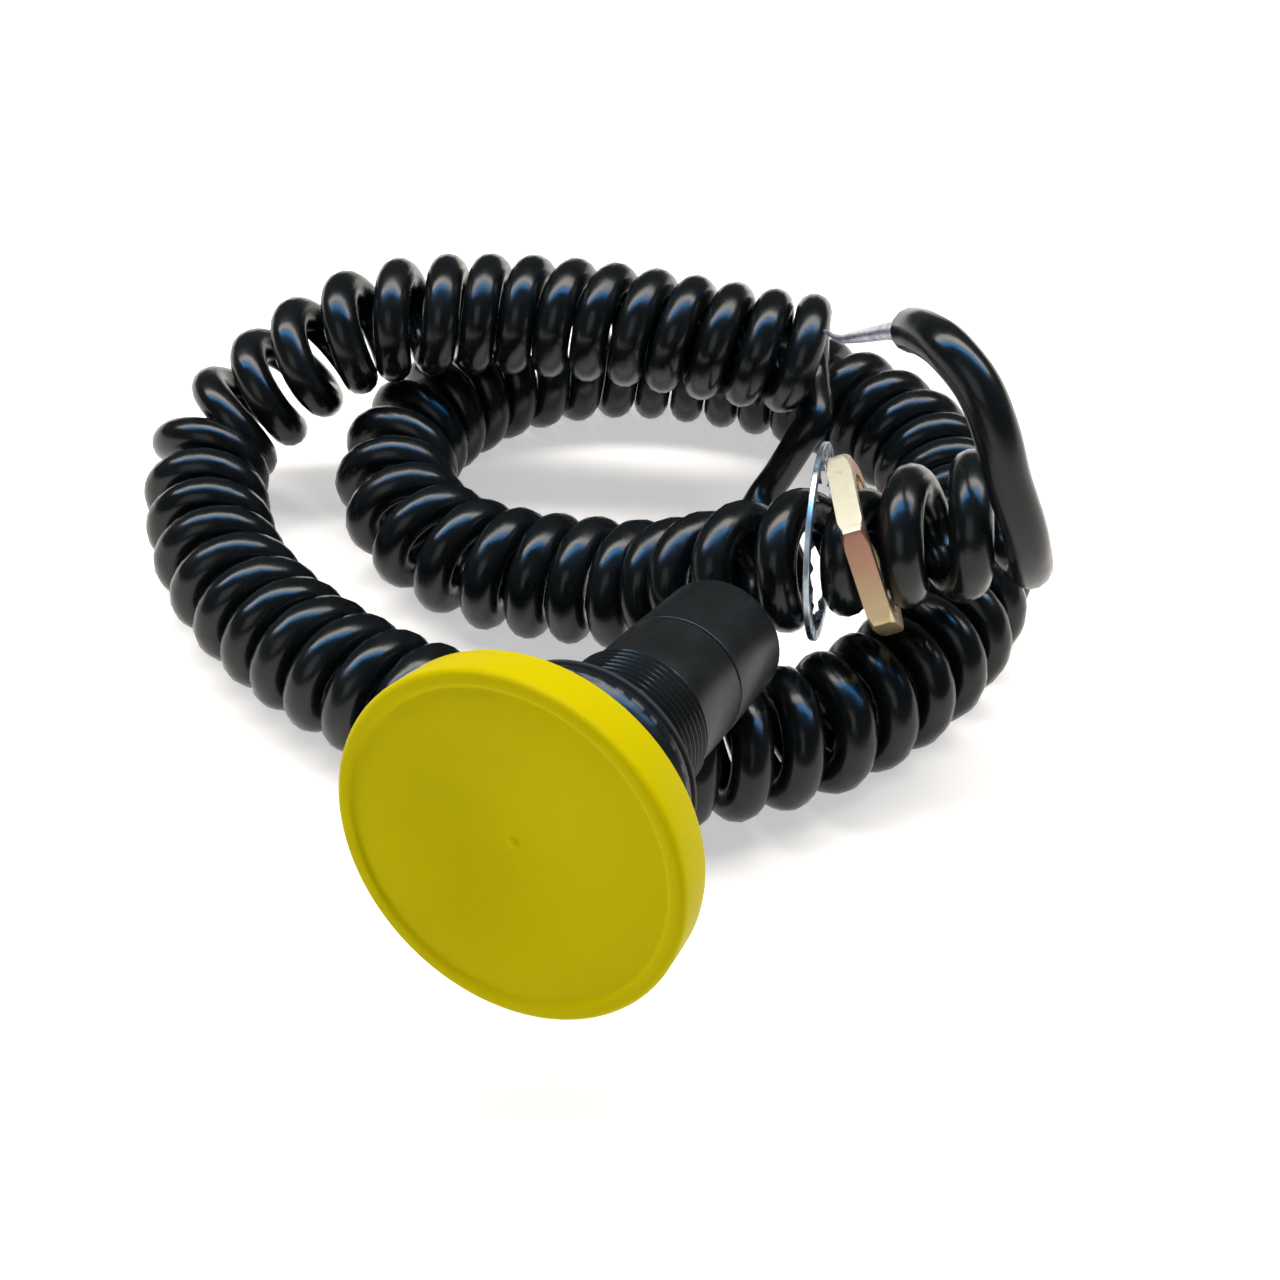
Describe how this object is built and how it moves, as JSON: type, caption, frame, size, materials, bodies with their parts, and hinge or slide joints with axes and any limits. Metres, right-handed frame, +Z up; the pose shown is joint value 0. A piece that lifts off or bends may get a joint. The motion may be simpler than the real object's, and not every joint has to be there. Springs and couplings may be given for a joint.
{
  "type": "omnidirectional antenna",
  "caption": "Panel-mount puck antenna with a round radome, threaded shank, long barrel and a coiled cord carrying a loose hex nut and lock washer.",
  "frame": {"origin": "centre of the antenna's own bounding box, without its cord and the nut and washer on the cord", "axes": "+Y runs from the yellow radome towards the cord end of the antenna, level with the table, +Z is up and +X is to the right seen from the radome end; the antenna's own axis leans 12.3 degrees below +Y"},
  "size_m": [0.2263, 0.238, 0.1035],
  "materials": {
    "radome_yellow": "smooth satin moulded plastic",
    "housing_black": "satin black moulded plastic with fine dust",
    "collar_gloss": "glossy black with a worn edge",
    "seal_rubber": "matt black rubber",
    "cord_jacket": "glossy black cord jacket",
    "brass": "turned brass",
    "nut_brass": "nickel-plated brass worn through to brass on some flats",
    "washer_zinc": "bluish zinc plate",
    "core_silver": "silvery foil screen",
    "aluminium": "sheet aluminium",
    "insulator_white": "white low-loss plastic",
    "board_green": "green circuit board",
    "potting": "dark potting resin"
  },
  "bodies": {
    "root": {"radome_cap": "radome_yellow", "radome_seal": "seal_rubber", "radiator_disc": "brass", "radiator_spacer": "insulator_white", "ground_disc": "aluminium", "feed_pin": "brass", "feed_insulator": "insulator_white", "head_backplate": "housing_black", "neck_sleeve": "housing_black", "flange_collar": "collar_gloss", "panel_gasket": "seal_rubber", "threaded_shank": "housing_black", "matching_board": "board_green", "barrel_front": "housing_black", "barrel_rear": "housing_black", "potting_plug": "potting", "inner_lead": "cord_jacket", "gland_ring": "brass", "strain_relief": "seal_rubber", "cord_tail_antenna": "cord_jacket", "coil_outer_start": "cord_jacket", "coil_outer_back": "cord_jacket", "coil_outer_left": "cord_jacket", "coil_outer_front": "cord_jacket", "coil_under_barrel": "cord_jacket", "coil_outer_right": "cord_jacket", "coil_right_back": "cord_jacket", "coil_inner_back": "cord_jacket", "coil_inner_left": "cord_jacket", "coil_inner_front": "cord_jacket", "coil_ramp": "cord_jacket", "coil_neck": "cord_jacket", "coil_free_end": "cord_jacket", "cord_tail_free": "cord_jacket", "cord_core": "core_silver"},
    "washer": {"lock_washer": "washer_zinc"},
    "nut": {"hex_nut": "nut_brass"}
  },
  "joints": [
    {"name": "washer_slide", "type": "slide", "parent": "root", "child": "washer", "axis": [0.8981, 0.2002, 0.3916], "range_m": [-0.0015, 0]},
    {"name": "nut_slide", "type": "slide", "parent": "root", "child": "nut", "axis": [0.8981, 0.2002, 0.3916], "range_m": [0, 0.0024]}
  ]
}
